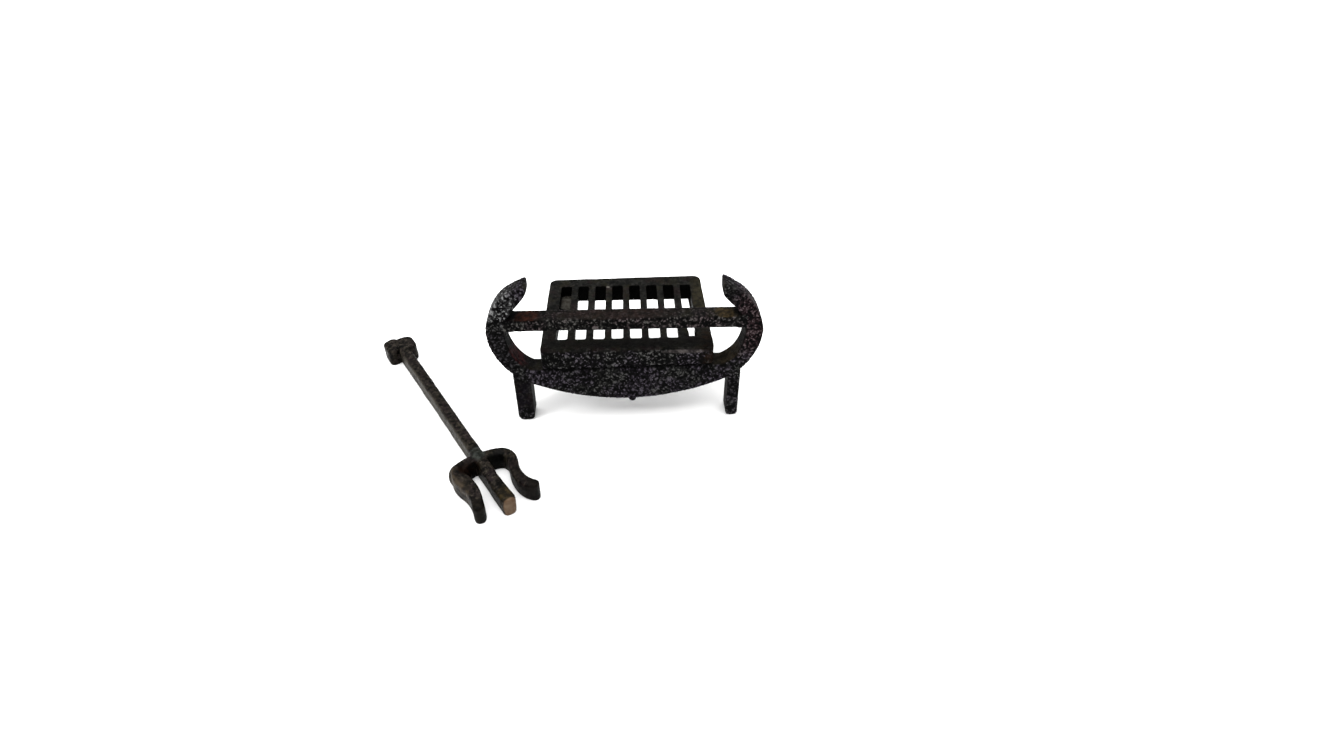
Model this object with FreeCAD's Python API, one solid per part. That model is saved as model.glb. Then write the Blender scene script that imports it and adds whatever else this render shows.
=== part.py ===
import FreeCAD, Part
import math
import os

# Miniature cast fire grate with its loose three-pronged fork, about 1:12 scale.
# Millimetres, +Z up, +X to the right along the front of the grate, +Y towards its back.
# The pieces are first built with the grate's front face at y = 0, its middle at x = 0 and
# its feet on z = 0. The whole set is then centred on the middle of its bounding box.

V = FreeCAD.Vector

# How far a cutting solid runs past the faces it opens.
cut_margin = 0.01
# Lengths below this count as nothing when edges are picked by where they lie.
near = 0.01

# ---- driving dimensions: front casting ----
plate_thickness = 4.4
apron_bottom_z = 6.1
apron_quarter = (11.2, 7.4)
apron_end = (22.0, 11.1)
arm_low = (28.0, 16.8)
# The casting is finished by hand, so its two sides differ a little.
right_side = {
    "widest": (30.0, 24.0),
    "shoulder": (27.4, 30.7),
    "tip": (21.3, 35.5),
    "inner": [(21.3, 33.0), (23.4, 30.7), (26.0, 27.6), (26.6, 23.0), (25.3, 18.2), (21.6, 14.8)],
}
left_side = {
    "widest": (30.1, 24.0),
    "shoulder": (28.0, 30.7),
    "tip": (21.4, 35.7),
    "inner": [(21.3, 34.1), (23.8, 30.8), (26.1, 27.6), (26.7, 23.0), (25.2, 18.0), (21.4, 14.1)],
}
nib_x = 1.1
nib_z = 5.75
nib_radius = 0.55
nib_depth = 1.6

# ---- driving dimensions: crossbar ----
bar_bottom_z = 25.1
bar_top_z = 27.75
bar_depth = 4.0
bar_edge_round = 0.3
bar_reach = 27.2
bar_peg_side = 1.2
bar_peg_start = 24.6
bar_peg_end = 27.6

# ---- driving dimensions: grid ----
grid_middle_x = 0.1
# The grid isn't quite square either: its back edge runs a little askew.
grid_front_x = (-19.1, 19.5)
grid_back_x = (-19.0, 19.0)
grid_front_y = 0.2
grid_back_y = (31.0, 32.1)
grid_top_z = 19.7
grid_bottom_z = 15.5
grid_front_corner = 0.8
grid_back_corner = 1.8
lip_back_y = 4.2
slot_count = 8
slot_pitch = 4.24
slot_top_width = 2.5
slot_bottom_width = 3.3
slot_front_y = 4.2
slot_back_y = 27.6
slot_corner = 0.45

# ---- driving dimensions: legs ----
left_leg_x = (-25.6, -22.4)
right_leg_x = (23.5, 25.7)
leg_depth = 4.2
leg_top_z = 14.0
leg_edge_round = 0.45
leg_peg_side = 1.5
leg_peg_foot_z = 8.0
leg_peg_top_z = 15.2
rear_leg_top = (17.3, 29.3)
rear_leg_foot = (20.3, 29.3)
rear_leg_top_size = (2.6, 3.0)
rear_leg_foot_size = (1.9, 2.4)
rear_peg_side = 1.3
rear_peg_height = 2.4

# ---- driving dimensions: fork, in its own axes ----
# a runs along the fork from the crossing towards the prong tips, b across it, z up.
fork_crossing = (-33.05, -15.4)
fork_angle = -58.1
fork_height = 4.2
shaft_half_width = 1.0
shaft_height = 4.0
shaft_back_a = -48.0
prong_root_a = 0.6
prong_root = (-1.3, 1.05)
prong_waist_a = 8.0
prong_waist = (-1.05, 0.85)
prong_tip = (-1.2, 1.25)
prong_tip_a = 16.7
prong_tip_round = 0.7
yoke_tip_bulge = 0.4
yoke_notch_a = (-1.0, 5.0)
# Centre line of the yoke strap as (a, b, half thickness), from the left tip to the right tip.
yoke_line = [
    (14.9, -6.0, 0.95),
    (12.0, -5.3, 1.0),
    (9.3, -5.1, 1.15),
    (5.9, -5.6, 1.4),
    (2.9, -5.0, 1.4),
    (1.6, -2.6, 1.0),
    (1.7, 0.0, 1.0),
    (2.0, 2.4, 0.95),
    (2.7, 4.6, 0.95),
    (4.8, 5.75, 0.9),
    (8.4, 5.0, 0.8),
    (11.8, 4.7, 0.85),
    (15.4, 6.2, 0.95),
]
handle_left = {"a": (-52.0, -47.1), "b": (-3.7, -1.35), "round": 1.0}
handle_right = {"a": (-51.7, -46.4), "b": (-1.0, 3.1), "round": 1.4}
handle_bridge = {"a": (-51.5, -48.7), "b": (-2.4, 1.0), "round": 0.2}
handle_peg_a = (-49.6, -45.0)
handle_peg_width = 1.2
handle_peg_height = 2.0


def front_point(xz, side=1):
    return V(side * xz[0], 0, xz[1])


def line(p, q):
    return Part.LineSegment(p, q).toShape()


def arc(p, q, r):
    return Part.Arc(p, q, r).toShape()


def smooth_edge(points):
    curve = Part.BSplineCurve()
    curve.interpolate(points)
    return curve.toShape()


def face_from(edges):
    return Part.Face(Part.Wire(Part.__sortEdges__(edges)))


def polygon_face(points):
    return Part.Face(Part.makePolygon(points + points[:1]))


def block(x0, x1, y0, y1, z0, z1):
    return Part.makeBox(x1 - x0, y1 - y0, z1 - z0, V(x0, y0, z0))


def rounded_rectangle(x_range, y_range, radius, z):
    """A closed wire of four lines and four quarter circles."""
    (x0, x1), (y0, y1) = x_range, y_range
    r = radius
    k = r * (1 - math.sqrt(0.5))
    edges = [
        line(V(x0 + r, y0, z), V(x1 - r, y0, z)),
        arc(V(x1 - r, y0, z), V(x1 - k, y0 + k, z), V(x1, y0 + r, z)),
        line(V(x1, y0 + r, z), V(x1, y1 - r, z)),
        arc(V(x1, y1 - r, z), V(x1 - k, y1 - k, z), V(x1 - r, y1, z)),
        line(V(x1 - r, y1, z), V(x0 + r, y1, z)),
        arc(V(x0 + r, y1, z), V(x0 + k, y1 - k, z), V(x0, y1 - r, z)),
        line(V(x0, y1 - r, z), V(x0, y0 + r, z)),
        arc(V(x0, y0 + r, z), V(x0 + k, y0 + k, z), V(x0 + r, y0, z)),
    ]
    return Part.Wire(edges)


def rounded(shape, radius, chosen):
    edges = [edge for edge in shape.Edges if chosen(edge)]
    return shape.makeFillet(radius, edges)


def largest_solid(shape):
    return max(shape.Solids, key=lambda solid: solid.Volume)


def is_upright(edge):
    box = edge.BoundBox
    return box.ZLength > 10 * near and box.XLength < near and box.YLength < near


# ---- front casting ----


def side_edges(profile, side):
    """Outline of one half of the front casting, from the apron's bottom to the ledge's end."""
    apron_corner = front_point(apron_end, side)
    widest = front_point(profile["widest"], side)
    tip = front_point(profile["tip"], side)
    inner = [front_point(xz, side) for xz in profile["inner"]]
    return [
        arc(V(0, 0, apron_bottom_z), front_point(apron_quarter, side), apron_corner),
        arc(apron_corner, front_point(arm_low, side), widest),
        arc(widest, front_point(profile["shoulder"], side), tip),
        line(tip, inner[0]),
        smooth_edge(inner),
    ]


def ledge_ends():
    """The ledge that carries the grid, from its left end to its right end."""
    return front_point(left_side["inner"][-1], -1), front_point(right_side["inner"][-1])


def plain_front_plate():
    edges = side_edges(right_side, 1) + side_edges(left_side, -1) + [line(*ledge_ends())]
    return face_from(edges).extrude(V(0, plate_thickness, 0))


def make_front_casting(plate):
    nib = Part.makeCylinder(nib_radius, nib_depth, V(nib_x, 0, nib_z), V(0, 1, 0))
    shape = plate.fuse(nib)
    for side in (1, -1):
        shape = shape.cut(bar_peg(side))
    for x_range in (left_leg_x, right_leg_x):
        shape = shape.cut(leg_peg(x_range))
    return shape.removeSplitter()


# ---- crossbar ----


def bar_peg(side):
    x0, x1 = sorted((side * bar_peg_start, side * bar_peg_end))
    y_mid = bar_depth / 2
    z_mid = (bar_bottom_z + bar_top_z) / 2
    half = bar_peg_side / 2
    return block(x0, x1, y_mid - half, y_mid + half, z_mid - half, z_mid + half)


def make_crossbar(plate):
    bar = block(-bar_reach, bar_reach, 0, bar_depth, bar_bottom_z, bar_top_z)
    bar = rounded(bar, bar_edge_round, lambda edge: edge.BoundBox.XLength > bar_reach)
    bar = largest_solid(bar.cut(plate))
    for side in (1, -1):
        bar = bar.fuse(bar_peg(side))
    return bar.removeSplitter()


# ---- grid ----


def make_lip():
    """The front rail's deeper lip, whose underside follows the ledge."""
    left_end, right_end = ledge_ends()
    slope = (right_end.z - left_end.z) / (right_end.x - left_end.x)
    left_x, right_x = grid_front_x
    corners = [
        V(left_x, grid_front_y, left_end.z + slope * (left_x - left_end.x)),
        V(right_x, grid_front_y, left_end.z + slope * (right_x - left_end.x)),
        V(right_x, grid_front_y, grid_top_z),
        V(left_x, grid_front_y, grid_top_z),
    ]
    return polygon_face(corners).extrude(V(0, lip_back_y - grid_front_y, 0))


def make_slot(x_mid):
    """A slot that widens downwards, so that its bars taper."""
    sections = []
    levels = [(slot_bottom_width, grid_bottom_z - cut_margin), (slot_top_width, grid_top_z + cut_margin)]
    for width, z in levels:
        x_range = (x_mid - width / 2, x_mid + width / 2)
        sections.append(rounded_rectangle(x_range, (slot_front_y, slot_back_y), slot_corner, z))
    return Part.makeLoft(sections, True, True)


def make_grid():
    corners = [
        V(grid_front_x[0], grid_front_y, grid_bottom_z),
        V(grid_front_x[1], grid_front_y, grid_bottom_z),
        V(grid_back_x[1], grid_back_y[1], grid_bottom_z),
        V(grid_back_x[0], grid_back_y[0], grid_bottom_z),
    ]
    body = polygon_face(corners).extrude(V(0, 0, grid_top_z - grid_bottom_z))
    shape = body.fuse(make_lip()).removeSplitter()
    at_front = lambda edge: is_upright(edge) and edge.BoundBox.YMax < grid_front_y + near
    at_back = lambda edge: is_upright(edge) and edge.BoundBox.YMin > min(grid_back_y) - near
    shape = rounded(shape, grid_front_corner, at_front)
    shape = rounded(shape, grid_back_corner, at_back)
    for index in range(slot_count):
        from_middle = (index - (slot_count - 1) / 2) * slot_pitch
        shape = shape.cut(make_slot(grid_middle_x + from_middle))
    for side in (1, -1):
        shape = shape.cut(rear_peg(side))
    return shape


# ---- legs ----


def leg_peg(x_range):
    x_mid = (x_range[0] + x_range[1]) / 2
    y_mid = leg_depth / 2
    half = leg_peg_side / 2
    return block(x_mid - half, x_mid + half, y_mid - half, y_mid + half, leg_peg_foot_z, leg_peg_top_z)


def make_front_leg(x_range, plate):
    shank = block(x_range[0], x_range[1], 0, leg_depth, 0, leg_top_z)
    shank = rounded(shank, leg_edge_round, lambda edge: edge.BoundBox.ZMax < near)
    shank = largest_solid(shank.cut(plate))
    return shank.fuse(leg_peg(x_range)).removeSplitter()


def rear_peg(side):
    x_mid = side * rear_leg_top[0]
    y_mid = rear_leg_top[1]
    half = rear_peg_side / 2
    top = grid_bottom_z + rear_peg_height
    return block(x_mid - half, x_mid + half, y_mid - half, y_mid + half, grid_bottom_z, top)


def rectangle_at(centre, size, z):
    x, y = centre
    dx, dy = size[0] / 2, size[1] / 2
    corners = [V(x - dx, y - dy, z), V(x + dx, y - dy, z), V(x + dx, y + dy, z), V(x - dx, y + dy, z)]
    return Part.makePolygon(corners + corners[:1])


def make_rear_leg(side):
    top = (side * rear_leg_top[0], rear_leg_top[1])
    foot = (side * rear_leg_foot[0], rear_leg_foot[1])
    sections = [rectangle_at(foot, rear_leg_foot_size, 0)]
    sections.append(rectangle_at(top, rear_leg_top_size, grid_bottom_z))
    shank = Part.makeLoft(sections, True, True)
    return shank.fuse(rear_peg(side)).removeSplitter()


# ---- fork ----


def strap_sides(line_points):
    """Points on both sides of a centre line given as (a, b, half thickness)."""
    left, right = [], []
    last = len(line_points) - 1
    for index, (a, b, half) in enumerate(line_points):
        before = line_points[max(index - 1, 0)]
        after = line_points[min(index + 1, last)]
        da, db = after[0] - before[0], after[1] - before[1]
        length = math.hypot(da, db)
        left.append(V(a - db / length * half, b + da / length * half, 0))
        right.append(V(a + db / length * half, b - da / length * half, 0))
    return left, right


def end_cap(p, q, tip, inner):
    """A rounded end between two side points, bulging away from the inner point."""
    outward = V(tip[0] - inner[0], tip[1] - inner[1], 0).normalize()
    middle = (p + q) * 0.5 + outward * ((p - q).Length * yoke_tip_bulge)
    return arc(p, middle, q)


def make_yoke():
    left, right = strap_sides(yoke_line)
    edges = [
        smooth_edge(left),
        end_cap(left[-1], right[-1], yoke_line[-1], yoke_line[-2]),
        smooth_edge(right),
        end_cap(left[0], right[0], yoke_line[0], yoke_line[1]),
    ]
    yoke = face_from(edges).extrude(V(0, 0, fork_height))
    # The upper half is notched where the shaft crosses.
    notch = block(*yoke_notch_a, *prong_root, fork_height / 2, fork_height + cut_margin)
    return yoke.cut(notch)


def lobe(outline):
    wire = rounded_rectangle(outline["a"], outline["b"], outline["round"], 0)
    return Part.Face(wire).extrude(V(0, 0, fork_height))


def plain_handle():
    lobes = lobe(handle_left).fuse(lobe(handle_right)).fuse(lobe(handle_bridge))
    return lobes.removeSplitter()


def handle_peg():
    half_b = handle_peg_width / 2
    z_mid = fork_height / 2
    half_z = handle_peg_height / 2
    return block(*handle_peg_a, -half_b, half_b, z_mid - half_z, z_mid + half_z)


def make_shaft(yoke, handle):
    z0 = (fork_height - shaft_height) / 2
    bar = block(shaft_back_a, prong_root_a, -shaft_half_width, shaft_half_width, z0, z0 + shaft_height)
    bar = largest_solid(bar.cut(handle))
    widths = [(prong_root_a, prong_root), (prong_waist_a, prong_waist), (prong_tip_a, prong_tip)]
    left = [V(a, sides[0], 0) for a, sides in widths]
    right = [V(a, sides[1], 0) for a, sides in widths]
    corners = left + right[::-1]
    prong = polygon_face(corners).extrude(V(0, 0, fork_height))
    at_tip = lambda edge: is_upright(edge) and edge.BoundBox.XMin > prong_tip_a - near
    prong = rounded(prong, prong_tip_round, at_tip)
    return bar.fuse(prong).fuse(handle_peg()).removeSplitter().cut(yoke)


def laid_down(shape):
    """The shape moved from the fork's own axes to where the fork lies."""
    where = V(fork_crossing[0], fork_crossing[1], 0)
    moved = shape.copy()
    moved.Placement = FreeCAD.Placement(where, FreeCAD.Rotation(V(0, 0, 1), fork_angle))
    return moved


def build():
    plate = plain_front_plate()
    yoke = make_yoke()
    handle = plain_handle()
    parts = {
        "front_casting": make_front_casting(plate),
        "crossbar": make_crossbar(plate),
        "grid": make_grid(),
        "front_leg_left": make_front_leg(left_leg_x, plate),
        "front_leg_right": make_front_leg(right_leg_x, plate),
        "rear_leg_left": make_rear_leg(-1),
        "rear_leg_right": make_rear_leg(1),
        "fork_yoke": laid_down(yoke),
        "fork_shaft": laid_down(make_shaft(yoke, handle)),
        "fork_handle": laid_down(handle.cut(handle_peg())),
    }
    whole = Part.makeCompound(list(parts.values())).optimalBoundingBox()
    to_origin = V(-whole.Center.x, -whole.Center.y, -whole.ZMin)
    os.makedirs("parts", exist_ok=True)
    for name, shape in parts.items():
        shape.translate(to_origin)
        state = f"solids {len(shape.Solids)}, valid {shape.isValid()}, volume {shape.Volume:.1f}"
        print(f"{name}: {state}")
        shape.exportStep(f"parts/{name}.step")
    print(f"moved by {to_origin}, size {whole.XLength:.2f} x {whole.YLength:.2f} x {whole.ZLength:.2f}")


build()
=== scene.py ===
import itertools
import math

import bmesh
import bpy
import numpy as np
from mathutils import Matrix, Vector
from mathutils.kdtree import KDTree


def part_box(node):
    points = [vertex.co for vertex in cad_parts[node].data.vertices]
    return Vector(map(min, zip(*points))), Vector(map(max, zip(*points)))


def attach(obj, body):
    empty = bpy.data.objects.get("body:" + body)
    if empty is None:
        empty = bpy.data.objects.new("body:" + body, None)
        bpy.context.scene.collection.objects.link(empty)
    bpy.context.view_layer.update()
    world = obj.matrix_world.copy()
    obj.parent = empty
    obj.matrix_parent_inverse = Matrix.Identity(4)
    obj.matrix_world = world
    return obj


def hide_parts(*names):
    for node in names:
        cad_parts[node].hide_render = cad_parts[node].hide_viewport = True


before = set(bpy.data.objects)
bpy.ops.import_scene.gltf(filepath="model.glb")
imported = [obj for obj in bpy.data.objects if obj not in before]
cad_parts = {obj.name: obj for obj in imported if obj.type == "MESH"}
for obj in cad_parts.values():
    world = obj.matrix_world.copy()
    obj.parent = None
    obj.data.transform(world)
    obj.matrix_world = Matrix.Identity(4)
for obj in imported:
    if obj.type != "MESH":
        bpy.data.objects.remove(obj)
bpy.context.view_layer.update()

# Meshes are worked on in millimetres and scaled to metres when they are finished.
MM = 0.001
GRATE_NODES = ["front_casting", "crossbar", "front_leg_left", "front_leg_right"]
GRID_NODES = ["grid", "rear_leg_left", "rear_leg_right"]
FORK_NODES = ["fork_shaft", "fork_yoke", "fork_handle"]
TRIANGLE_LIMIT = 190000


# ---- places, read from the frame ----


def box_mm(node):
    """The lowest and highest corner of a CAD node, in millimetres."""
    low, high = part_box(node)
    return np.array(low) / MM, np.array(high) / MM


# The fork's own axes: a runs towards the prong tips, b across to the right, z up.
FORK_ANGLE = math.radians(-58.1)
MIDDLE_PRONG_LENGTH = 16.7
FORK_A = np.array([math.cos(FORK_ANGLE), math.sin(FORK_ANGLE), 0.0])
FORK_B = np.array([-math.sin(FORK_ANGLE), math.cos(FORK_ANGLE), 0.0])


def node_points(node):
    return np.array([v.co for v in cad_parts[node].data.vertices], float) / MM


def fork_crossing():
    """The point on the floor under the place where the shaft crosses the yoke."""
    points = node_points("fork_shaft")
    along, across = points @ FORK_A, points @ FORK_B
    back_end = across[along < along.min() + 1.0]
    middle = (back_end.min() + back_end.max()) / 2
    return FORK_A * (along.max() - MIDDLE_PRONG_LENGTH) + FORK_B * middle


CROSSING = fork_crossing()


def fork_point(a, b, z):
    """A point given on the fork's own axes, as a point of the frame."""
    return CROSSING + FORK_A * a + FORK_B * b + np.array([0.0, 0.0, z])


# ---- numpy helpers ----


def smooth_step(low, high, values):
    """0 at low, 1 at high, and a smooth curve between them."""
    t = np.clip((values - low) / (high - low), 0, 1)
    return t * t * (3 - 2 * t)


TABLE_SIDE = 32


def lattice_noise(points, pitch, seed):
    """Smooth noise from -1 to 1 whose lumps are about one pitch across."""
    table = np.random.default_rng(seed).random((TABLE_SIDE,) * 3) * 2 - 1
    cell = np.floor(points / pitch).astype(int)
    share = smooth_step(0, 1, points / pitch - cell)
    total = np.zeros(len(points))
    for corner in itertools.product((0, 1), repeat=3):
        weight = np.prod(np.where(corner, share, 1 - share), axis=1)
        index = (cell + corner) % TABLE_SIDE
        total += weight * table[tuple(index.T)]
    return total


def grains(points, pitch, seed):
    """Height and shade, both 0 to 1, of the cast grain that each point lies on."""
    table = np.random.default_rng(seed).random((TABLE_SIDE,) * 3 + (5,))
    cell = np.floor(points / pitch).astype(int)
    nearest = np.full(len(points), np.inf)
    shade = np.zeros(len(points))
    for step in itertools.product((-1, 0, 1), repeat=3):
        near = cell + step
        draw = table[tuple((near % TABLE_SIDE).T)]
        radius = pitch * (0.35 + 0.4 * draw[:, 3])
        distance = np.linalg.norm(points - (near + draw[:, :3]) * pitch, axis=1) / radius
        closer = distance < nearest
        nearest = np.where(closer, distance, nearest)
        shade = np.where(closer, draw[:, 4], shade)
    return np.clip(1 - nearest**2, 0, 1), shade


# ---- mesh helpers ----


def linked(name, mesh):
    obj = bpy.data.objects.new(name, mesh)
    bpy.context.scene.collection.objects.link(obj)
    return obj


def merged_copy(name, nodes, lumps=()):
    """The CAD nodes' meshes and some rounded lumps, together in one object, in millimetres."""
    bm = bmesh.new()
    for node in nodes:
        bm.from_mesh(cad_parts[node].data)
    bmesh.ops.scale(bm, vec=Vector((1, 1, 1)) / MM, verts=bm.verts)
    for centre, radii, turn in lumps:
        place = Matrix.Translation(Vector(centre)) @ Matrix.Rotation(turn, 4, "Z")
        size = Matrix.Diagonal(Vector((*radii, 1)))
        bmesh.ops.create_icosphere(bm, subdivisions=4, radius=1, matrix=place @ size)
    mesh = bpy.data.meshes.new(name)
    bm.to_mesh(mesh)
    bm.free()
    return linked(name, mesh)


def with_modifier(obj, kind, **settings):
    """Adds one modifier and applies it."""
    modifier = obj.modifiers.new(kind.lower(), kind)
    for key, value in settings.items():
        setattr(modifier, key, value)
    graph = bpy.context.evaluated_depsgraph_get()
    mesh = bpy.data.meshes.new_from_object(
        obj.evaluated_get(graph), preserve_all_data_layers=True, depsgraph=graph
    )
    obj.modifiers.clear()
    obj.data = mesh
    return obj


def points_of(obj):
    co = np.zeros(len(obj.data.vertices) * 3, np.float32)
    obj.data.vertices.foreach_get("co", co)
    return co.reshape(-1, 3).astype(float)


def normals_of(obj):
    normals = np.zeros(len(obj.data.vertices) * 3, np.float32)
    obj.data.vertex_normals.foreach_get("vector", normals)
    return normals.reshape(-1, 3).astype(float)


def set_points(obj, points):
    obj.data.vertices.foreach_set("co", points.astype(np.float32).ravel())
    obj.data.update()


def set_values(obj, name, values):
    attributes = obj.data.attributes
    attribute = attributes.get(name) or attributes.new(name, "FLOAT", "POINT")
    attribute.data.foreach_set("value", values.astype(np.float32))


def get_values(obj, name):
    values = np.zeros(len(obj.data.vertices), np.float32)
    obj.data.attributes[name].data.foreach_get("value", values)
    return values


def pushed(points, pushes):
    """Points near each centre moved by a vector, fading out round it."""
    moved = points.copy()
    for centre, radius, shift in pushes:
        reach = np.linalg.norm(points - centre, axis=1) / radius
        moved += np.outer(np.exp(-(reach**2)), shift)
    return moved


def bend_of_surface(obj, rounds):
    """How convex (above 0) or hollow (below 0) the surface is at each vertex, in millimetres."""
    softer = linked("softer", obj.data.copy())
    with_modifier(softer, "SMOOTH", factor=0.5, iterations=rounds)
    bend = np.sum((points_of(obj) - points_of(softer)) * normals_of(softer), axis=1)
    bpy.data.objects.remove(softer)
    return bend


def cast_body(name, nodes, voxel, rounds, lumps=()):
    """One closed skin round all the nodes, with its edges and inside corners rounded."""
    obj = merged_copy(name, nodes, lumps)
    with_modifier(obj, "REMESH", mode="VOXEL", voxel_size=voxel, adaptivity=0)
    return with_modifier(obj, "SMOOTH", factor=0.5, iterations=rounds)


def block(name, low, high, turn=0.0, origin=(0, 0, 0)):
    """A cutting block between two corners, turned about Z at an origin."""
    low, high = np.array(low, float), np.array(high, float)
    bm = bmesh.new()
    place = Matrix.Translation(Vector(origin)) @ Matrix.Rotation(turn, 4, "Z")
    place = place @ Matrix.Translation(Vector((low + high) / 2))
    bmesh.ops.create_cube(bm, size=1, matrix=place @ Matrix.Diagonal(Vector((*(high - low), 1))))
    mesh = bpy.data.meshes.new(name)
    bm.to_mesh(mesh)
    bm.free()
    return linked(name, mesh)


def combined(obj, other, operation):
    return with_modifier(obj, "BOOLEAN", operation=operation, object=other, solver="MANIFOLD")


def cut_out(body, name, cutter):
    """Takes the part of a body that lies in the cutter away from it, as a new object."""
    piece = combined(linked(name, body.data.copy()), cutter, "INTERSECT")
    combined(body, cutter, "DIFFERENCE")
    return piece


def finished(piece, source, values, material, node, body):
    """Thins the mesh, gives its values back, scales it to metres and puts it in the frame."""
    triangles = sum(len(polygon.vertices) - 2 for polygon in piece.data.polygons)
    if triangles > TRIANGLE_LIMIT:
        with_modifier(piece, "DECIMATE", ratio=TRIANGLE_LIMIT / triangles)
    tree, columns = source
    nearest = [tree.find(vertex.co)[1] for vertex in piece.data.vertices]
    for value in values:
        set_values(piece, value, columns[value][nearest])
    piece.data.transform(Matrix.Scale(MM, 4))
    piece.data.polygons.foreach_set("use_smooth", [True] * len(piece.data.polygons))
    piece.data.materials.clear()
    piece.data.materials.append(material)
    piece.data.update()
    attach(piece, body)
    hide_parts(node)
    return piece


def value_source(obj, names):
    """A tree of the vertices with their values, so that cut pieces can be given them back."""
    points = points_of(obj)
    tree = KDTree(len(points))
    for index, point in enumerate(points):
        tree.insert(point, index)
    tree.balance()
    return tree, {name: get_values(obj, name) for name in names}


SURFACE_VALUES = ["grain", "grainy", "edge", "hollow"]
BEND_ROUNDS = 30
BEND_RANGE = (0.02, 0.16)
FINE_GRAIN = 0.5
COARSE_GRAIN = 0.85


def give_surface(obj, grainy, grain_height, wave_height, seed, swell, dents=(), deep=0.0):
    """Moves the vertices by cast grains and unevenness, and stores the values that materials read.

    The skin is swollen a little first, because smoothing shrinks it. Nothing goes below the floor.
    """
    points, normals = points_of(obj), normals_of(obj)
    bend = bend_of_surface(obj, BEND_ROUNDS)
    warp = np.stack([lattice_noise(points, 0.8, seed + 5 + axis) for axis in range(3)], axis=1)
    uneven = points + 0.3 * warp
    fine, fine_shade = grains(uneven, FINE_GRAIN, seed)
    coarse, coarse_shade = grains(uneven, COARSE_GRAIN, seed + 1)
    height = np.maximum(fine * (0.35 + 0.65 * fine_shade), coarse * (0.2 + 0.8 * coarse_shade))
    shade = np.maximum(fine * (0.3 + 0.7 * fine_shade), coarse * coarse_shade)
    wave = lattice_noise(points, 3.2, seed + 2) + 0.5 * lattice_noise(points, 1.3, seed + 3)
    pits = np.clip(lattice_noise(points, 0.5, seed + 4) - 0.3, 0, 1)
    move = swell + grainy * grain_height * (height - 0.4) + wave_height * wave
    move -= (1 - grainy) * pits * wave_height
    for centre, radius, depth in dents:
        reach = np.linalg.norm(points - centre, axis=1) / radius
        move -= depth * np.exp(-(reach**2))
    moved = points + normals * move[:, None]
    moved[:, 2] = np.maximum(moved[:, 2], 0)
    set_points(obj, moved)
    set_values(obj, "grain", shade)
    set_values(obj, "grainy", grainy)
    set_values(obj, "edge", smooth_step(*BEND_RANGE, bend))
    # The hollow values mark where materials darken: painted shade in concave places and slot walls, and
    # the dark seam joint.
    set_values(obj, "hollow", np.maximum(smooth_step(*BEND_RANGE, -bend), deep))
    return value_source(obj, SURFACE_VALUES)


# ---- materials ----


METAL_SHARE = 0.6


def tone(red, green, blue, share=METAL_SHARE):
    """A colour given as 0 to 255 screen values, as the linear values that shaders take.

    The share leaves room for the light that the surface reflects without colour.
    """
    linear = [
        ((c / 255 + 0.055) / 1.055) ** 2.4 if c > 10 else c / 255 / 12.92
        for c in (red, green, blue)
    ]
    return (*(share * c for c in linear), 1)


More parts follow.
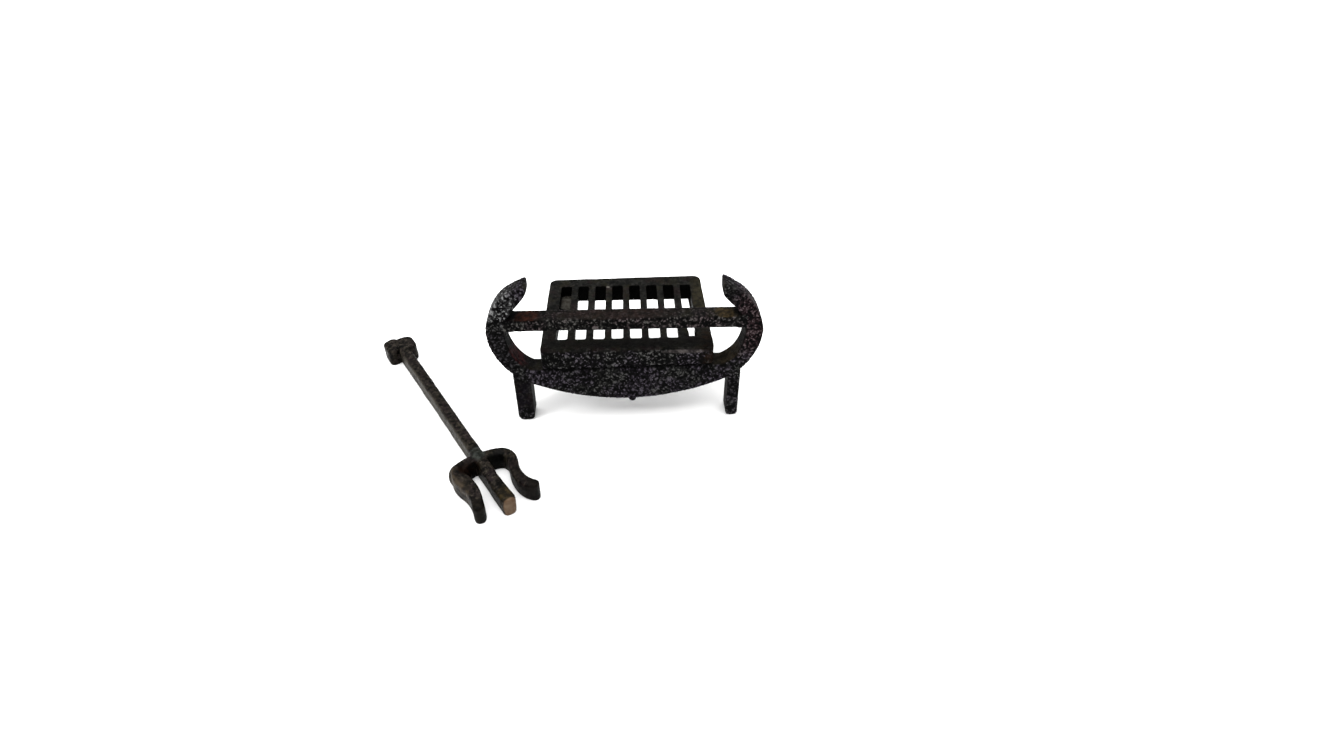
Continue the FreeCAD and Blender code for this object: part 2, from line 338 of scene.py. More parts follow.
class Shader:
    """One material and the small set of node groups that these surfaces are painted with."""

    def __init__(self, name):
        self.material = bpy.data.materials.new(name)
        self.material.use_nodes = True
        self.tree = self.material.node_tree
        self.surface = self.tree.nodes["Principled BSDF"]
        where = self.add("ShaderNodeTexCoord")
        self.facing = where.outputs["Normal"]
        scaled = self.add(
            "ShaderNodeVectorMath",
            {0: where.outputs["Object"], 1: (1 / MM,) * 3},
            operation="MULTIPLY",
        )
        self.place = scaled.outputs[0]

    def add(self, kind, inputs=None, **settings):
        node = self.tree.nodes.new(kind)
        for key, value in settings.items():
            setattr(node, key, value)
        for key, value in (inputs or {}).items():
            if isinstance(value, bpy.types.NodeSocket):
                self.tree.links.new(value, node.inputs[key])
            else:
                node.inputs[key].default_value = value
        return node

    def value(self, name):
        return self.add("ShaderNodeAttribute", attribute_name=name).outputs["Fac"]

    def math(self, operation, a, b=0.0):
        return self.add("ShaderNodeMath", {0: a, 1: b}, operation=operation).outputs[0]

    def ramp(self, value, low, high, to_low=0.0, to_high=1.0):
        """A smooth step of a value between two limits."""
        ends = {"Value": value, "From Min": low, "From Max": high, "To Min": to_low, "To Max": to_high}
        node = self.add("ShaderNodeMapRange", ends, interpolation_type="SMOOTHSTEP")
        return node.outputs["Result"]

    def noise(self, size, detail=3.0, rough=0.55, shift=0.0):
        """Noise from 0 to 1 with lumps of about this size in millimetres."""
        moved = self.add("ShaderNodeVectorMath", {0: self.place, 1: (shift,) * 3}, operation="ADD")
        inputs = {"Vector": moved.outputs[0], "Scale": 1 / size, "Detail": detail, "Roughness": rough}
        return self.add("ShaderNodeTexNoise", inputs).outputs["Fac"]

    def mix(self, first, second, factor):
        """The first colour where the factor is 0, the second where it is 1."""
        factor_socket, first_socket, second_socket, colour_output = 0, 6, 7, 2
        inputs = {factor_socket: factor, first_socket: first, second_socket: second}
        node = self.add("ShaderNodeMix", data_type="RGBA", clamp_factor=True)
        for key, value in inputs.items():
            if isinstance(value, bpy.types.NodeSocket):
                self.tree.links.new(value, node.inputs[key])
            else:
                node.inputs[key].default_value = value
        return node.outputs[colour_output]

    def toward(self, direction, low, high):
        """1 where the surface faces a direction, 0 where it faces away."""
        unit = Vector(direction).normalized()
        dot = self.add("ShaderNodeVectorMath", {0: self.facing, 1: unit}, operation="DOT_PRODUCT")
        return self.ramp(dot.outputs["Value"], low, high)

    def patch(self, centre, radii, softness=0.6, turn=None):
        """1 inside an ellipsoid with a ragged edge, 0 outside."""
        offset = self.add("ShaderNodeVectorMath", {0: self.place, 1: centre}, operation="SUBTRACT")
        offset = offset.outputs[0]
        if turn is not None:
            turned = {"Vector": offset, "Angle": -turn}
            offset = self.add("ShaderNodeVectorRotate", turned, rotation_type="Z_AXIS").outputs[0]
        scaled = self.add("ShaderNodeVectorMath", {0: offset, 1: radii}, operation="DIVIDE").outputs[0]
        reach = self.add("ShaderNodeVectorMath", {0: scaled}, operation="LENGTH").outputs["Value"]
        ragged = self.math("ADD", reach, self.math("MULTIPLY", self.noise(0.9), softness))
        return self.ramp(ragged, 1 + softness, 0.9)

    def finish(self, colour, roughness, bump, bump_depth, specular):
        """Joins the colour, roughness and bump to the surface. The bump's depth is in millimetres."""
        inputs = {"Height": bump, "Distance": bump_depth * MM, "Strength": 1.0}
        node = self.add("ShaderNodeBump", inputs)
        self.tree.links.new(node.outputs[0], self.surface.inputs["Normal"])
        self.tree.links.new(colour, self.surface.inputs["Base Color"])
        self.tree.links.new(roughness, self.surface.inputs["Roughness"])
        self.surface.inputs["Specular IOR Level"].default_value = specular
        return self.material


UP = (0, 0, 1)
BUMP_DEPTH = 0.05
BLACK_SPECULAR = 0.02
BRONZE_SPECULAR = 0.03


def black_casting(name, skin_tones, grain_tones, patches=(), grain_areas=()):
    """Black cast metal: smooth satin skin, coarse grains where the mould was rough, their light tones
    partly bare metal on the grain tops and partly painted glints.

    Each patch is (dark tone, bright tone, centre, radii, direction it faces, strength), and each
    grain area is (middle tone, light tone, centre, radii). Places are in millimetres.
    """
    shader = Shader(name)
    mottle = shader.ramp(shader.noise(2.2, 5.0, 0.7), 0.4, 0.6)
    skin = shader.mix(tone(*skin_tones[0]), tone(*skin_tones[1]), mottle)
    olive = shader.ramp(shader.noise(3.4, 4.0, 0.65, 27.0), 0.47, 0.62)
    skin = shader.mix(skin, tone(35, 33, 21), shader.math("MULTIPLY", olive, 0.5))
    plum = shader.ramp(shader.noise(2.9, 4.0, 0.65, 37.0), 0.49, 0.63)
    skin = shader.mix(skin, tone(33, 21, 23), shader.math("MULTIPLY", plum, 0.45))
    speck = shader.ramp(shader.noise(0.8, 4.0, 0.65, 7.0), 0.54, 0.66)
    skin = shader.mix(skin, tone(60, 58, 55), shader.math("MULTIPLY", speck, 0.5))
    pit = shader.ramp(shader.noise(1.1, 4.0, 0.65, 19.0), 0.46, 0.36)
    skin = shader.mix(skin, tone(4, 4, 4), shader.math("MULTIPLY", pit, 0.8))
    grain = shader.value("grain")
    sand = shader.noise(0.5, 2.0, 0.6, 3.0)
    sparkle = shader.math("MULTIPLY", grain, shader.ramp(sand, 0.35, 0.6, 0.5, 1.3))
    middle_warm, middle_cool, light_warm, light_cool = (tone(*colour) for colour in grain_tones)
    hue = shader.noise(5.0, 3.0, 0.6, 43.0)
    middle = shader.mix(middle_warm, middle_cool, shader.ramp(hue, 0.42, 0.6))
    light = shader.mix(light_warm, light_cool, shader.ramp(hue, 0.46, 0.62))
    for middle_there, light_there, centre, radii in grain_areas:
        area = shader.patch(centre, radii)
        middle = shader.mix(middle, tone(*middle_there), area)
        light = shader.mix(light, tone(*light_there), area)
    # The light grain tones are partly bare metal on the grain tops and partly painted glints.
    pebbles = shader.mix(tone(3, 3, 3), middle, shader.ramp(sparkle, 0.05, 0.26))
    pebbles = shader.mix(pebbles, light, shader.ramp(sparkle, 0.26, 0.78))
    colour = shader.mix(skin, pebbles, shader.value("grainy"))
    # The patches hold both staining and painted shade.
    for dark, bright, centre, radii, facing, strength in patches:
        cloud = shader.ramp(shader.noise(1.2, 4.0, 0.6, 61.0), 0.4, 0.6)
        stain_and_shade = shader.mix(tone(*dark), tone(*bright), cloud)
        mask = shader.math("MULTIPLY", shader.patch(centre, radii), strength)
        if facing is not None:
            mask = shader.math("MULTIPLY", mask, shader.toward(facing, 0.35, 0.75))
        colour = shader.mix(colour, stain_and_shade, mask)
    # Painted shade in concave places and slot walls, with the dark seam joint, from the hollow values.
    colour = shader.mix(colour, tone(2, 2, 2), shader.math("MULTIPLY", shader.value("hollow"), 0.9))
    # Convex edges are lighter: partly scuffed bare edges and partly a painted highlight.
    scuff_and_highlight_spots = shader.ramp(shader.noise(1.4, 3.0, 0.6, 11.0), 0.46, 0.62)
    scuffed_and_highlighted_edge = shader.math("MULTIPLY", shader.value("edge"), scuff_and_highlight_spots)
    colour = shader.mix(colour, tone(66, 64, 62), shader.math("MULTIPLY", scuffed_and_highlighted_edge, 0.35))
    roughness = shader.ramp(shader.noise(0.7, 4.0, 0.6, 5.0), 0.25, 0.75, 0.42, 0.66)
    bump = shader.math("ADD", shader.noise(0.16, 3.0, 0.6), shader.noise(0.5, 2.0, 0.5, 2.0))
    return shader.finish(colour, roughness, bump, BUMP_DEPTH, BLACK_SPECULAR)


def bronzed_metal(name):
    """Dark bronze-brown metal, grey along one side from rubbing and a painted highlight, bare at the cut
    middle prong.
    """
    shader = Shader(name)

    def blotch(dark, bright, size, shift, sharp=0.08):
        """A dark and a bright tone in blotches of about this size."""
        share = shader.ramp(shader.noise(size, 5.0, 0.65, shift), 0.5 - sharp, 0.5 + sharp)
        return shader.mix(tone(*dark), tone(*bright), share)

    def spread(size, shift, low, high, strength):
        """How much of another tone there is at each point, in spots of about this size."""
        spots = shader.ramp(shader.noise(size, 4.0, 0.62, shift), low, high)
        return shader.math("MULTIPLY", spots, strength)

    skin = blotch((6, 4, 3), (43, 38, 34), 1.1, 0.0, 0.07)
    skin = shader.mix(skin, tone(30, 28, 16), spread(3.0, 9.0, 0.46, 0.62, 0.6))
    skin = shader.mix(skin, tone(36, 27, 30), spread(2.6, 23.0, 0.47, 0.63, 0.6))
    skin = shader.mix(skin, tone(74, 68, 60), spread(0.8, 71.0, 0.53, 0.63, 0.6))
    skin = shader.mix(skin, tone(2, 2, 1), spread(0.8, 83.0, 0.5, 0.41, 0.95))
    # The shaft's left-facing side is grey: partly rubbing and partly a painted highlight on the side that
    # faces the light.
    side = shader.toward(-FORK_B, 0.25, 0.75)
    shaft = shader.patch(fork_point(-22.5, -1, 2), (26.5, 1.3, 4), 0.15, FORK_ANGLE)
    rubbed_and_lit_side = blotch((26, 23, 18), (66, 62, 54), 2.6, 31.0, 0.1)
    skin = shader.mix(skin, rubbed_and_lit_side, shader.math("MULTIPLY", side, shaft))
    # The left shoulder's faces that turn up and outward get a lighter beige: beige tone and painted light
    # where the left lamp falls.
    up_and_out = shader.toward(Vector(-FORK_B) * 0.8 + Vector(UP) * 0.6, 0.45, 0.85)
    outer = shader.patch(fork_point(6.2, -6.3, 2.8), (4.8, 1.9, 4), 0.4, FORK_ANGLE)
    shoulder = shader.math("MULTIPLY", outer, up_and_out)
    skin = shader.mix(skin, blotch((32, 28, 24), (68, 59, 48), 2.2, 37.0), shoulder)
    inner = shader.patch(fork_point(3.6, 0, 1.9), (2.1, 5.4, 2.9), 0.3, FORK_ANGLE)
    facing_tips = shader.toward(FORK_A, 0.25, 0.6)
    shaded = shader.math("MULTIPLY", inner, facing_tips)
    skin = shader.mix(skin, blotch((12, 5, 2), (3, 3, 2), 3.0, 47.0), shaded)
    # Each patch is (centre, radii, dark tone, bright tone, strength). The first two are painted shade in
    # the yoke's two hollows, and the one on the handle's back is the painted shade of a dimple; the rest
    # are staining and tints.
    stains_and_shade = [
        # Painted shade in the yoke's two hollows.
        (fork_point(3.3, -3.5, 3.4), (2.2, 2.9, 2.2), (6, 4, 3), (20, 9, 4), 0.9),
        (fork_point(3.1, 3.3, 3.2), (1.5, 2.4, 2.0), (3, 3, 3), (12, 13, 11), 0.9),
        (fork_point(11.5, 5.6, 2), (5.6, 2.3, 4), (6, 4, 4), (26, 20, 18), 0.8),
        (fork_point(15.0, -6.0, 2), (3.0, 2.6, 4), (5, 4, 2), (21, 17, 11), 0.9),
        (fork_point(15.8, 6.6, 2), (1.9, 2.6, 4), (4, 3, 2), (17, 13, 10), 0.9),
        (fork_point(0.8, 0, 4.2), (2.2, 1.5, 1.2), (22, 25, 22), (58, 62, 58), 0.8),
        (fork_point(14.9, 0, 3.6), (2.0, 1.8, 2.4), (20, 16, 7), (54, 45, 27), 0.85),
        # Painted shade of a dimple in the handle's top.
        (fork_point(-51.5, -0.9, 4.0), (0.7, 0.8, 0.8), (4, 3, 2), (12, 9, 6), 0.9),
        (fork_point(12.2, -1.6, 1.8), (4.6, 0.8, 3), (12, 10, 5), (36, 31, 19), 0.8),
    ]
    for index, (centre, radii, dark, bright, strength) in enumerate(stains_and_shade):
        mask = shader.math("MULTIPLY", shader.patch(centre, radii, 0.5, FORK_ANGLE), strength)
        skin = shader.mix(skin, blotch(dark, bright, 1.6, 53.0 + index), mask)
    bare = shader.patch(fork_point(17.2, 0, 2.1), (1.1, 2.2, 3.2), 0.15, FORK_ANGLE)
    skin = shader.mix(skin, blotch((94, 70, 51), (120, 102, 84), 4.0, 40.0, 0.16), bare)
    # Painted shade in the crease between the handle's lobes.
    crease = shader.patch(fork_point(-47.7, -1.25, 2.6), (1.5, 0.3, 2.6), 0.2, FORK_ANGLE)
    skin = shader.mix(skin, tone(5, 4, 3), shader.math("MULTIPLY", crease, 0.9))
    # Painted shade in the concave places, from the hollow values.
    colour = shader.mix(skin, tone(3, 2, 2), shader.math("MULTIPLY", shader.value("hollow"), 0.85))
    # Convex edges are lighter: partly scuffed bare edges and partly a painted highlight.
    scuffed_and_highlighted_edge = shader.math("MULTIPLY", shader.value("edge"), spread(1.6, 11.0, 0.46, 0.6, 1.0))
    colour = shader.mix(colour, tone(76, 70, 60), shader.math("MULTIPLY", scuffed_and_highlighted_edge, 0.3))
    roughness = shader.ramp(shader.noise(0.8, 4.0, 0.6, 5.0), 0.25, 0.75, 0.34, 0.6)
    bump = shader.math("ADD", shader.noise(0.2, 3.0, 0.6), shader.noise(0.7, 2.0, 0.5, 2.0))
    return shader.finish(colour, roughness, bump, BUMP_DEPTH, BRONZE_SPECULAR)


def floor_material():
    shader = Shader("pale_floor")
    tint = shader.mix(tone(244, 244, 244, 1), tone(248, 248, 247, 1), shader.noise(60.0, 2.0))
    roughness = shader.ramp(shader.noise(25.0, 2.0), 0.3, 0.7, 0.85, 0.95)
    return shader.finish(tint, roughness, shader.noise(4.0, 2.0), 0.005, 0.1)


# ---- the grate ----


def seam_line():
    """Slope and height of the line where the grid's lip rests on the front casting."""
    points = node_points("grid")
    front = points[points[:, 1] < points[:, 1].min() + 0.5]
    underside = front[front[:, 2] < front[:, 2].min() + 1]
    return np.polyfit(underside[:, 0], underside[:, 2], 1)


def seam_groove(points):
    """1 on the seam under the lip's front edge, fading to 0 about half a millimetre away."""
    low, high = box_mm("grid")
    half_width = 0.42
    off_seam = (points[:, 2] - np.polyval(seam_line(), points[:, 0])) / half_width
    from_left = smooth_step(low[0] - 0.4, low[0] + 0.6, points[:, 0])
    from_right = smooth_step(high[0] + 0.4, high[0] - 0.6, points[:, 0])
    at_front = smooth_step(low[1] + 1.6, low[1] + 0.8, points[:, 1])
    return np.exp(-(off_seam**2)) * (from_left * from_right) * at_front


def facing(along):
    """1 on faces that look a certain way, from the normals' share along it."""
    return smooth_step(0.35, 0.75, along)


def foot_lift(points, low, high):
    """How far to lift a leg's bottom corners, so that its foot ends in a shallow curve."""
    corner_lift, foot_height, sole_height, side_room = 0.9, 2.2, 0.6, 0.6
    beside = (points[:, 0] > low[0] - side_room) & (points[:, 0] < high[0] + side_room)
    near = beside & (points[:, 2] < foot_height)
    sole = points[near & (points[:, 2] < sole_height), 0]
    from_middle = np.abs(points[:, 0] - (sole.min() + sole.max()) / 2)
    share = np.clip(from_middle / (sole.max() - sole.min()) * 2, 0, 1)
    return near * corner_lift * share**4 * smooth_step(foot_height, 0.2, points[:, 2])


# Cast pieces: the height of their grains, the voxels of their skins and the seeds of their
# random draws. All lengths are in millimetres.
GRAIN_HEIGHT = 0.14
FRONT_VOXEL, FRONT_ROUNDS, FRONT_WAVE, FRONT_SEED = 0.1, 9, 0.03, 11
GRID_VOXEL, GRID_ROUNDS, GRID_WAVE, GRID_SEED = 0.13, 5, 0.035, 29
FORK_VOXEL, FORK_ROUNDS, FORK_WAVE, FORK_SEED = 0.1, 80, 0.06, 53
# Cutting blocks run from below the floor, and from in front of the plate to behind it. On the
# fork they run from below the floor to above it.
BELOW, IN_FRONT = -2, -2
BEHIND, ABOVE = 8, 8


def front_grain(points, normals, on_bar):
    """Where the front casting, crossbar and front legs are grainy: 1 rough, 0 smooth."""
    plate_low, plate_high = box_mm("front_casting")
    left_low, left_high = box_mm("front_leg_left")
    middle_x = (plate_low[0] + plate_high[0]) / 2
    off_middle = np.abs(points[:, 0] - middle_x)
    outward = smooth_step(0.05, 0.4, normals[:, 0] * np.sign(points[:, 0] - middle_x))
    outer = outward * smooth_step(20, 22, off_middle) * smooth_step(11, 13, points[:, 2])
    grainy = np.clip(facing(-normals[:, 1]) + 0.9 * outer + 0.6 * facing(normals[:, 1]), 0, 1)
    on_left_leg = (points[:, 0] < left_high[0] + 1) & (points[:, 0] > left_low[0] - 0.6)
    shank = smooth_step(12, 10.5, points[:, 2]) * smooth_step(3.0, 4.6, points[:, 2])
    grainy = grainy * (1 - 0.85 * (on_left_leg * shank))
    return np.maximum(grainy, 0.35 * on_bar * smooth_step(0.5, 0.8, normals[:, 2]))


def make_grate_front():
    """The front casting, crossbar and front legs: one skin, cut where the pieces meet."""
    body = cast_body("front", GRATE_NODES, FRONT_VOXEL, FRONT_ROUNDS)
    points, normals = points_of(body), normals_of(body)
    bar_low, bar_high = box_mm("crossbar")
    left_low, left_high = box_mm("front_leg_left")
    right_low, right_high = box_mm("front_leg_right")
    plate_low, plate_high = box_mm("front_casting")
    off_middle = np.abs(points[:, 0] - (plate_low[0] + plate_high[0]) / 2)
    on_bar = smooth_step(25, 24, off_middle) * smooth_step(23, 24, points[:, 2])
    grainy = front_grain(points, normals, on_bar)

    # The seam is cut back under the lip, the horns are drawn to points, the feet are rounded.
    groove = seam_groove(points)
    horn_tips = [
        (np.array((plate_low[0] + 8.7, 2.2, 35.2)), 3.2, (0.5, 0, 0.35)),
        (np.array((plate_high[0] - 8.7, 2.2, 35.0)), 3.2, (-0.3, 0, 0.4)),
    ]
    right_lift = 0.7 * foot_lift(points, right_low, right_high)
    lift = foot_lift(points, left_low, left_high) + right_lift
    seam_depth = (0, 0.35, 0)
    shaped = pushed(points, horn_tips) + np.outer(groove, seam_depth) + np.outer(lift, UP)
    set_points(body, shaped)
    swell = 0.33 - 0.15 * on_bar
    source = give_surface(
        body, grainy, GRAIN_HEIGHT, FRONT_WAVE, FRONT_SEED, swell=swell, deep=groove
    )

    inside_arm = 0.55
    shoulder = 1.1
    bar = block(
        "bar_cutter",
        (bar_low[0] + shoulder, IN_FRONT, bar_low[2] - inside_arm),
        (bar_high[0] - shoulder, BEHIND, bar_high[2] + inside_arm),
    )
    leg_top = 11.6
    room = 0.8
    left = block(
        "left_cutter",
        (left_low[0] - room, IN_FRONT, BELOW),
        (left_high[0] + room, BEHIND, leg_top),
    )
    right = block(
        "right_cutter",
        (right_low[0] - room, IN_FRONT, BELOW),
        (right_high[0] + room, BEHIND, leg_top),
    )
    pieces = {
        "crossbar": cut_out(body, "crossbar_bar", bar),
        "front_leg_left": cut_out(body, "front_leg_left_shank", left),
        "front_leg_right": cut_out(body, "front_leg_right_shank", right),
        "front_casting": body,
    }
    body.name = "front_casting_plate"
    for cutter in (bar, left, right):
        bpy.data.objects.remove(cutter)
    return pieces, source


SLAB_THICKNESS = 4.2
# The middles of the first and the last slot, across the grid.
FIRST_SLOT, LAST_SLOT = 2.05, 31.75


def make_grid_body():
    """The slotted grid with its rear legs: one skin, cut where the legs start.

    Casting flash closes the back of the first slot and narrows the front of the last one.
    """
    flash = [
        ((FIRST_SLOT - 0.1, 25.1, 16.35), (2.3, 4.0, 0.8), 0),
        ((LAST_SLOT, 4.2, 18.9), (1.5, 1.1, 0.7), 0),
        ((LAST_SLOT - 1.2, 6.0, 18.9), (0.6, 3.2, 0.7), 0),
        ((LAST_SLOT + 1.2, 6.0, 18.9), (0.6, 3.2, 0.7), 0),
    ]
    body = cast_body("grid_body", GRID_NODES, GRID_VOXEL, GRID_ROUNDS, flash)
    points, normals = points_of(body), normals_of(body)
    low, high = box_mm("grid")
    front = facing(-normals[:, 1]) * smooth_step(low[1] + 1.2, low[1] + 0.6, points[:, 1])
    front = front * smooth_step(high[2] - 0.2, high[2] - 0.9, points[:, 2])
    back = facing(normals[:, 1]) * smooth_step(high[1] - 1.2, high[1] - 0.6, points[:, 1])
    under = facing(-normals[:, 2])
    grainy = np.clip(front + 0.4 * back + 0.35 * under, 0, 1)

    # The slots' walls are found as the upright faces inside the rim, above the rear legs.
    rim = 1.2
    off_centre = np.abs(points[:, :2] - (low + high)[:2] / 2)
    inside = (off_centre < (high - low)[:2] / 2 - rim).all(axis=1)
    slab_bottom = high[2] - SLAB_THICKNESS
    above_slab_bottom = smooth_step(slab_bottom, slab_bottom + 0.4, points[:, 2])
    upright = smooth_step(0.5, 0.8, np.hypot(normals[:, 0], normals[:, 1]))
    slot_walls = inside * above_slab_bottom * upright

    groove = seam_groove(points)
    belly = front * smooth_step(0.3, 1.6, points[:, 2] - np.polyval(seam_line(), points[:, 0]))
    set_points(body, points + np.outer(0.4 * groove - 0.22 * belly, (0, 1, 0)))
    # The slot walls are marked for painted shade; the seam groove is darkened as a joint.
    deep = np.maximum(slot_walls, groove)
    swell = 0.13 - 0.17 * slot_walls
    source = give_surface(
        body, grainy, GRAIN_HEIGHT, GRID_WAVE, GRID_SEED, swell=swell, deep=deep
    )

    legs = {}
    leg_top = 15.4
    for side in ("left", "right"):
        node = f"rear_leg_{side}"
        leg_low, leg_high = box_mm(node)
        cutter = block(
            "leg_cutter",
            (leg_low[0] - 1, leg_low[1] - 1, BELOW),
            (leg_high[0] + 1, leg_high[1] + 1, leg_top),
        )
        legs[node] = cut_out(body, f"{node}_shank", cutter)
        bpy.data.objects.remove(cutter)
    body.name = "grid_casting"
    return {"grid": body, **legs}, source


# ---- the fork ----


def fork_block(name, low, high):
    """A cutting block between two corners given on the fork's own axes."""
    return block(name, low, high, FORK_ANGLE, CROSSING)


def make_fork():
    """The fork: one skin over shaft, yoke, handle and solder, cut into its pieces."""
    # Solder at the crossing, the handle's nub, the left shoulder, and the handle's left lobe.
    lumps = [
        (fork_point(0.4, -0.1, 3.75), (1.7, 1.25, 0.75), FORK_ANGLE),
        (fork_point(1.6, 0.5, 3.7), (1.3, 1.1, 0.65), FORK_ANGLE),
        (fork_point(-50.9, 0.4, 3.2), (0.9, 0.9, 1.2), FORK_ANGLE),
        (fork_point(2.5, -5.1, 2.0), (2.0, 2.1, 2.5), FORK_ANGLE),
        (fork_point(-50.7, -1.7, 2.9), (1.7, 1.8, 2.0), FORK_ANGLE),
        (fork_point(-48.7, -1.35, 2.0), (2.0, 0.8, 2.3), FORK_ANGLE),
    ]
    body = cast_body("fork_body", FORK_NODES, FORK_VOXEL, FORK_ROUNDS, lumps)
    # Two hollows in the yoke's upper edge, then the crease between the handle's lobes.
    dents = [
        (fork_point(3.5, -3.4, 4.7), 1.6, 1.3),
        (fork_point(3.3, 3.3, 4.7), 1.5, 1.0),
        (fork_point(-47.6, -1.25, 4.2), 0.5, 0.35),
        (fork_point(-47.0, -1.25, 3.0), 0.5, 0.35),
        (fork_point(-47.0, -1.25, 1.6), 0.5, 0.35),
    ]
    # The prongs and the yoke's back are bent a little out of true.
    bends = [
        (fork_point(14.0, -5.8, 2), 3.5, FORK_B * 0.15),
        (fork_point(12.0, 0, 2), 4.0, FORK_B * -0.12),
        (fork_point(2.4, 3.2, 3.5), 2.6, FORK_A * -0.15),
    ]
    set_points(body, pushed(points_of(body), bends))
    smooth = np.zeros(len(body.data.vertices))
    source = give_surface(body, smooth, 0.0, FORK_WAVE, FORK_SEED, swell=0.32, dents=dents)

    handle = fork_block("handle_cutter", (-60, -8, BELOW), (-46.2, 8, ABOVE))
    left_arm = fork_block("yoke_cutter", (-1.2, -12, BELOW), (22, -1.35, ABOVE))
    right_arm = fork_block("right_arm_cutter", (-1.2, 1.15, BELOW), (22, 12, ABOVE))
    under = fork_block("under_cutter", (0.8, -2, BELOW), (2.6, 2, 2.1))
    yoke = combined(combined(left_arm, right_arm, "UNION"), under, "UNION")
    pieces = {
        "fork_handle": cut_out(body, "fork_handle_scroll", handle),
        "fork_yoke": cut_out(body, "fork_yoke_strap", yoke),
        "fork_shaft": body,
    }
    body.name = "fork_shaft_bar"
    for cutter in (handle, left_arm, right_arm, under):
        bpy.data.objects.remove(cutter)
    return pieces, source


# ---- camera, floor and light ----

CAMERA_PLACE = (0.017713, -0.130263, 0.112529)
CAMERA_TURN = math.radians(-2.83)
CAMERA_DIP = math.radians(37.52)
CAMERA_ROLL = math.radians(0.384)
SENSOR_WIDTH = 36.0
FOCAL_LENGTH = 19.574
FLOOR_HALF = 3.0
# Each light is (name, place, what it points at, size, watts), in metres.
WORLD_STRENGTH = 0.68
LIGHTS = [
    ("overhead", (0.0, 0.2, 2.0), (0, 0.2, 0), 3.2, 90.0),
    ("left_key", (-0.35, -0.22, 0.42), (0, 0, 0.01), 0.14, 1.1),
]


def make_camera():
    data = bpy.data.cameras.new("camera")
    data.sensor_width = SENSOR_WIDTH
    data.lens = FOCAL_LENGTH
    data.clip_start = 0.005
    data.clip_end = 20
    camera = linked("camera", data)
    turned = Matrix.Rotation(CAMERA_TURN, 4, "Z") @ Matrix.Rotation(math.pi / 2 - CAMERA_DIP, 4, "X")
    rolled = turned @ Matrix.Rotation(CAMERA_ROLL, 4, "Z")
    camera.matrix_world = Matrix.Translation(CAMERA_PLACE) @ rolled
    bpy.context.scene.camera = camera


def make_floor(material):
    mesh = bpy.data.meshes.new("floor")
    signs = [(-1, -1), (1, -1), (1, 1), (-1, 1)]
    corners = [(x * FLOOR_HALF, y * FLOOR_HALF, 0) for x, y in signs]
    mesh.from_pydata(corners, [], [(0, 1, 2, 3)])
    mesh.materials.append(material)
    linked("floor", mesh)


def area_light(name, place, target, size, power):
    data = bpy.data.lights.new(name, "AREA")
    data.shape = "DISK"
    data.size = size
    data.energy = power
    light = linked(name, data)
    light.location = place
    toward = Vector(target) - Vector(place)
    light.rotation_euler = toward.to_track_quat("-Z", "Y").to_euler()


def make_lights():
    world = bpy.data.worlds.new("studio")
    bpy.context.scene.world = world
    world.use_nodes = True
    background = world.node_tree.nodes["Background"]
    background.inputs["Color"].default_value = (1, 1, 1, 1)
    background.inputs["Strength"].default_value = WORLD_STRENGTH
    for light in LIGHTS:
        area_light(*light)
    bpy.context.scene.view_settings.view_transform = "Standard"


# ---- everything together ----

plate_low, plate_high = box_mm("front_casting")
bar_low, bar_high = box_mm("crossbar")
grid_low, grid_high = box_mm("grid")
bar_top = bar_high[2]
bar_y = (bar_low[1] + bar_high[1]) / 2

INWARD_LEFT = (0.9, 0, 0.4)
INWARD_RIGHT = (-0.9, 0, 0.4)
front_patches = [
    # The first two patches are painted shade on the arms' inward faces.
    ((3, 3, 3), (11, 10, 11), (plate_low[0] + 3.6, bar_y, 22.0), (4.4, 4, 6.0), INWARD_LEFT, 1.0),
    ((8, 6, 6), (26, 21, 20), (plate_high[0] - 3.4, bar_y, 22.5), (3.4, 4, 5.0), INWARD_RIGHT, 0.9),
    ((28, 13, 14), (58, 31, 32), (plate_low[0] + 5.9, bar_y, 18.0), (3.0, 4, 2.7), (0.6, 0, 0.8), 0.95),
    ((20, 16, 10), (42, 36, 27), (plate_high[0] - 6.6, bar_y, 16.5), (4.4, 4, 3.0), (-0.5, 0, 0.85), 0.9),
]
grain_areas = [
    # Painted light: the left horn's upper grains are brighter, as if lit from the left.
    ((44, 44, 44), (140, 140, 140), (plate_low[0] + 3.4, bar_y - 1, 31.5), (4.2, 4, 4.2)),
    ((34, 22, 24), (94, 82, 84), (plate_high[0] - 3.0, bar_y - 1, 26), (5.5, 4, 9)),
    ((18, 17, 18), (60, 58, 61), (plate_low[0] + 2.6, bar_y - 1, 20.0), (5.0, 4, 6.5)),
]
bar_patches = [
    ((30, 15, 11), (58, 30, 22), (bar_low[0] + 6.1, bar_y, bar_top), (2.5, 3, 1), UP, 0.95),
    ((38, 32, 21), (74, 62, 42), (bar_high[0] - 5.5, bar_y, bar_top), (2.4, 3, 1), UP, 0.95),
    # Painted shadow on the crossbar's top where it meets the arms.
    ((3, 3, 3), (8, 7, 7), (bar_low[0] + 2.3, bar_y + 1, bar_top), (1.7, 2.6, 1.4), None, 0.9),
    ((3, 3, 3), (8, 7, 7), (bar_high[0] - 2.9, bar_y + 1, bar_top), (1.1, 2.6, 1.2), None, 0.9),
    ((16, 10, 8), (38, 27, 24), (bar_low[0] + 26, bar_y, bar_top), (12, 2.4, 1), UP, 0.6),
]
back_rail_speck = (grid_low[0] + 14.7, grid_high[1] - 5.0, grid_high[2])
lip_shine = (grid_high[0] - 6.5, grid_low[1], grid_high[2] - 0.9)
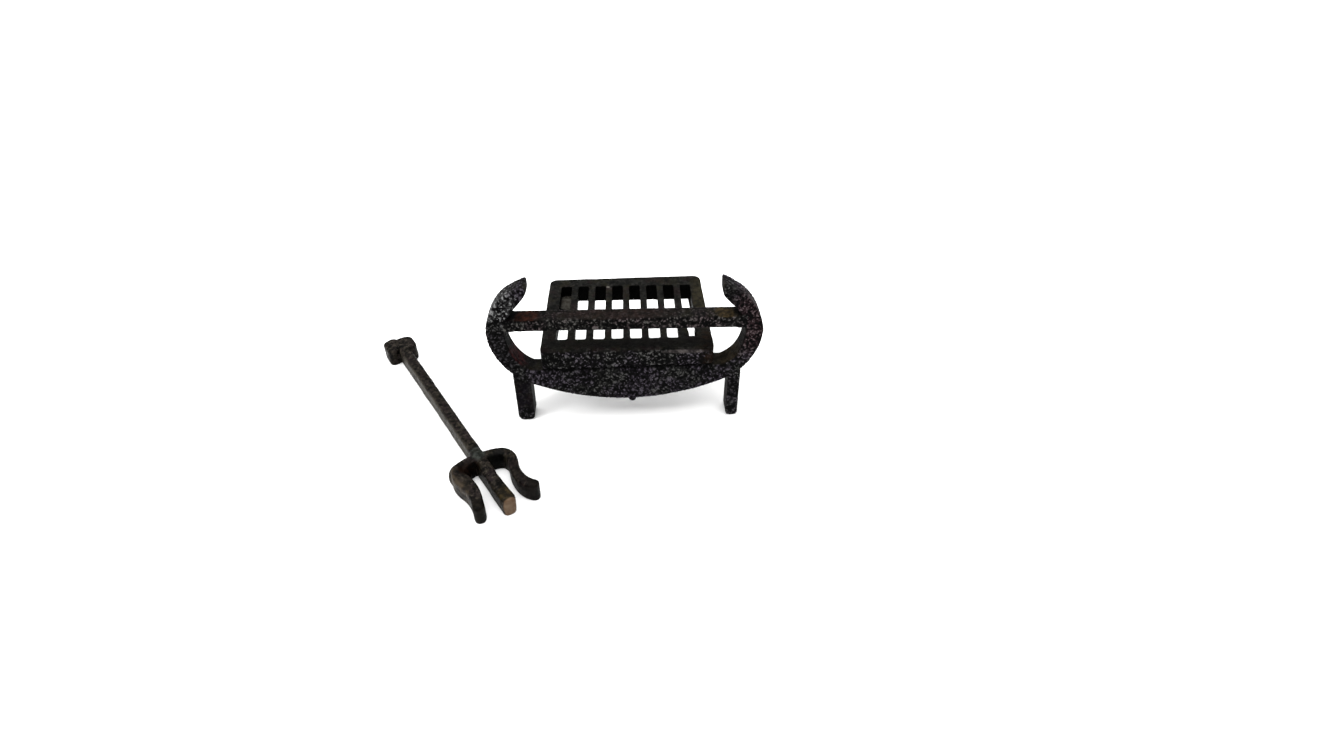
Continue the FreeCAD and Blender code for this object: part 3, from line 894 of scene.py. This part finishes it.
grid_patches = [
    ((26, 24, 16), (50, 46, 33), (grid_high[0] - 1.2, 20, grid_high[2]), (2.0, 12, 2), UP, 0.75),
    ((12, 7, 4), (36, 23, 13), (grid_high[0] - 0.9, 3.0, grid_high[2] - 2.4), (2.4, 4.6, 4.4), None, 0.8),
    ((70, 68, 64), (104, 100, 94), back_rail_speck, (0.45, 0.55, 0.7), UP, 0.9),
    # Painted shade on the front rail's top, under the crossbar.
    ((4, 4, 3), (15, 14, 12), (19.0, 2.2, grid_high[2]), (22, 1.6, 1.0), UP, 0.7),
    ((58, 54, 48), (84, 82, 76), (FIRST_SLOT - 0.1, 24.0, 16.6), (2.6, 3.6, 1.2), UP, 0.9),
    ((50, 46, 46), (100, 94, 92), lip_shine, (5.0, 1.4, 0.5), None, 0.7),
]

# Grain tones: the middle ones, warm then cool, and the light ones, warm then cool, which are partly
# painted glints.
BLACK_GRAINS = [(30, 26, 32), (28, 28, 27), (84, 79, 87), (82, 82, 80)]
BAR_GRAINS = [(27, 22, 23), (25, 24, 23), (92, 83, 84), (88, 87, 84)]
LIP_GRAINS = [(14, 12, 15), (13, 13, 12), (92, 87, 94), (90, 90, 88)]
LEG_GRAINS = [(15, 12, 17), (15, 14, 15), (80, 75, 82), (78, 77, 78)]
casting_black = black_casting(
    "casting_black", [(6, 6, 6), (25, 24, 24)], BLACK_GRAINS, front_patches, grain_areas
)
bar_black = black_casting("bar_black", [(3, 3, 3), (22, 20, 18)], BAR_GRAINS, bar_patches)
grid_black = black_casting("grid_black", [(8, 8, 7), (28, 28, 26)], LIP_GRAINS, grid_patches)
leg_black = black_casting("leg_black", [(4, 2, 6), (14, 10, 16)], LEG_GRAINS)
fork_bronze = bronzed_metal("fork_bronze")

materials = {
    "front_casting": casting_black,
    "crossbar": bar_black,
    "front_leg_left": leg_black,
    "front_leg_right": leg_black,
    "grid": grid_black,
    "rear_leg_left": grid_black,
    "rear_leg_right": grid_black,
    "fork_shaft": fork_bronze,
    "fork_yoke": fork_bronze,
    "fork_handle": fork_bronze,
}

make_camera()
make_floor(floor_material())
make_lights()
for make, body, slot in (
    (make_grate_front, "grate", "black_casting"),
    (make_grid_body, "grate", "black_casting"),
    (make_fork, "fork", "bronzed_metal"),
):
    pieces, source = make()
    for node, piece in pieces.items():
        finished(piece, source, SURFACE_VALUES, materials[node], node, body)
